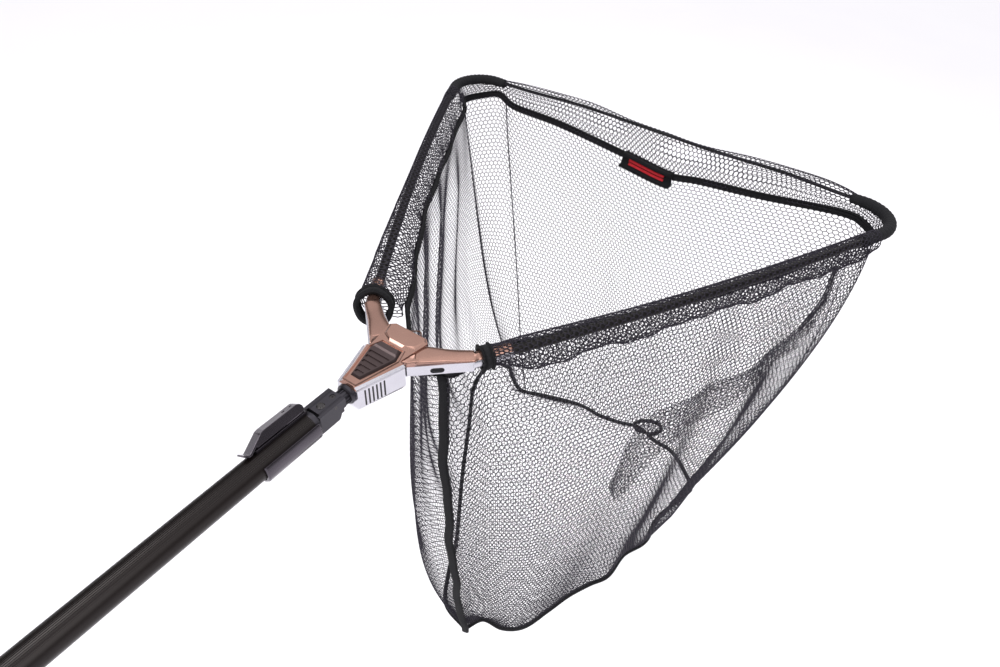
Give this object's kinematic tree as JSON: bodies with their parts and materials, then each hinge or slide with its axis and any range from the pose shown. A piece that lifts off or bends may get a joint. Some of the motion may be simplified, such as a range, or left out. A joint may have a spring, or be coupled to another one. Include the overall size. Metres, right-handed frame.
{
  "type": "folding landing net",
  "caption": "Hand landing net: triangular net bag on two folding arms, a hinged locking neck and a telescopic tube handle with belt clip.",
  "frame": {"origin": "middle of the spreader head, on the centre line of the handle and in the plane of the two arms", "axes": "+Y from the handle's butt to the net's front cord, +X towards the right arm, +Z square to the arms' plane, away from the net bag"},
  "size_m": [0.7146, 1.5004, 0.7306],
  "materials": {
    "handle_anodised": "satin anodised, fine ribs",
    "extension_anodised": "satin anodised",
    "black_plastic": "fine moulded texture",
    "slider_plastic": "satin moulded",
    "foam_grip": "matte foam",
    "nylon_bush": "natural nylon",
    "copper_paint": "satin metallic",
    "silver_paint": "satin metallic",
    "catch_grey": "satin moulded",
    "steel": "bright zinc",
    "spring_steel": "plain",
    "arm_tube_metal": "satin",
    "black_tape": "woven elastic tape",
    "net_mesh": "knotless hexagonal netting",
    "thin_cord": "twisted cord"
  },
  "bodies": {
    "handle": {"outer_tube": "handle_anodised", "hinge_fork": "black_plastic", "hinge_pin": "steel", "fork_rivets": "steel", "lock_collet": "black_plastic"},
    "twist_collar": {"twist_collar": "black_plastic"},
    "extension": {"inner_tube": "extension_anodised", "guide_bush": "nylon_bush", "grip": "foam_grip", "butt_cap": "black_plastic"},
    "slider": {"slider_sleeve": "slider_plastic", "belt_clip": "slider_plastic", "clip_rivets": "steel", "slider_pad": "foam_grip"},
    "head": {"hinge_tongue": "black_plastic", "tongue_screw": "steel", "neck_rod": "black_plastic", "neck_ring": "black_plastic", "button_spring": "spring_steel", "head_upper_shell": "copper_paint", "head_lower_shell": "silver_paint", "head_screws": "steel", "arm_pivot_pins": "steel", "catch_spring": "spring_steel", "net_tie_cord": "thin_cord", "net_right_panel": "net_mesh", "net_left_panel": "net_mesh", "net_front_panel": "net_mesh", "net_base_panel": "net_mesh", "rear_seam_tape": "black_tape", "base_piping": "black_tape", "front_cord": "black_tape", "front_hem_band": "net_mesh", "front_hem_tape": "black_tape", "label_tag": "black_tape"},
    "hinge_button": {"hinge_button": "steel"},
    "release_catch": {"release_catch": "catch_grey", "lock_plate": "steel", "catch_screw": "steel"},
    "right_arm": {"right_arm_root": "silver_paint", "right_arm_cover": "copper_paint", "right_arm_tube": "arm_tube_metal", "right_tip_elbow": "black_plastic", "right_corner_wrap": "black_tape", "right_cuff": "black_tape", "right_arm_sleeve": "net_mesh", "right_hem_tape": "black_tape"},
    "left_arm": {"left_arm_root": "silver_paint", "left_arm_cover": "copper_paint", "left_arm_tube": "arm_tube_metal", "left_tip_elbow": "black_plastic", "left_corner_wrap": "black_tape", "left_cuff": "black_tape", "left_arm_sleeve": "net_mesh", "left_hem_tape": "black_tape"}
  },
  "joints": [
    {"name": "extension_slide", "type": "slide", "parent": "handle", "child": "extension", "axis": [0, -1, 0], "range_m": [0, 0.28]},
    {"name": "collar_twist", "type": "hinge", "parent": "handle", "child": "twist_collar", "pos_m": [0, -0.65, 0], "axis": [0, 1, 0], "range_deg": [0, 90]},
    {"name": "slider_slide", "type": "slide", "parent": "handle", "child": "slider", "axis": [0, -1, 0], "range_m": [0, 0.06]},
    {"name": "neck_fold", "type": "hinge", "parent": "handle", "child": "head", "pos_m": [0, -0.058, 0.008], "axis": [1, 0, 0], "range_deg": [0, 130]},
    {"name": "hinge_button_press", "type": "slide", "parent": "head", "child": "hinge_button", "axis": [0, 0, -1], "range_m": [0, 0.0012], "deforming": ["button_spring"]},
    {"name": "catch_slide", "type": "slide", "parent": "head", "child": "release_catch", "axis": [0, -1, 0], "range_m": [0, 0.005], "deforming": ["catch_spring"]},
    {"name": "right_arm_fold", "type": "hinge", "parent": "head", "child": "right_arm", "pos_m": [0.015, 0.03, 0], "axis": [0, 0, 1], "range_deg": [0, 24], "deforming": ["front_cord", "front_hem_band", "front_hem_tape"]},
    {"name": "left_arm_fold", "type": "hinge", "parent": "head", "child": "left_arm", "pos_m": [-0.015, 0.03, 0], "axis": [0, 0, 1], "range_deg": [-24, 0]}
  ],
  "couplings": [
    {"joint": "left_arm_fold", "follows": "right_arm_fold", "ratio": -1}
  ]
}
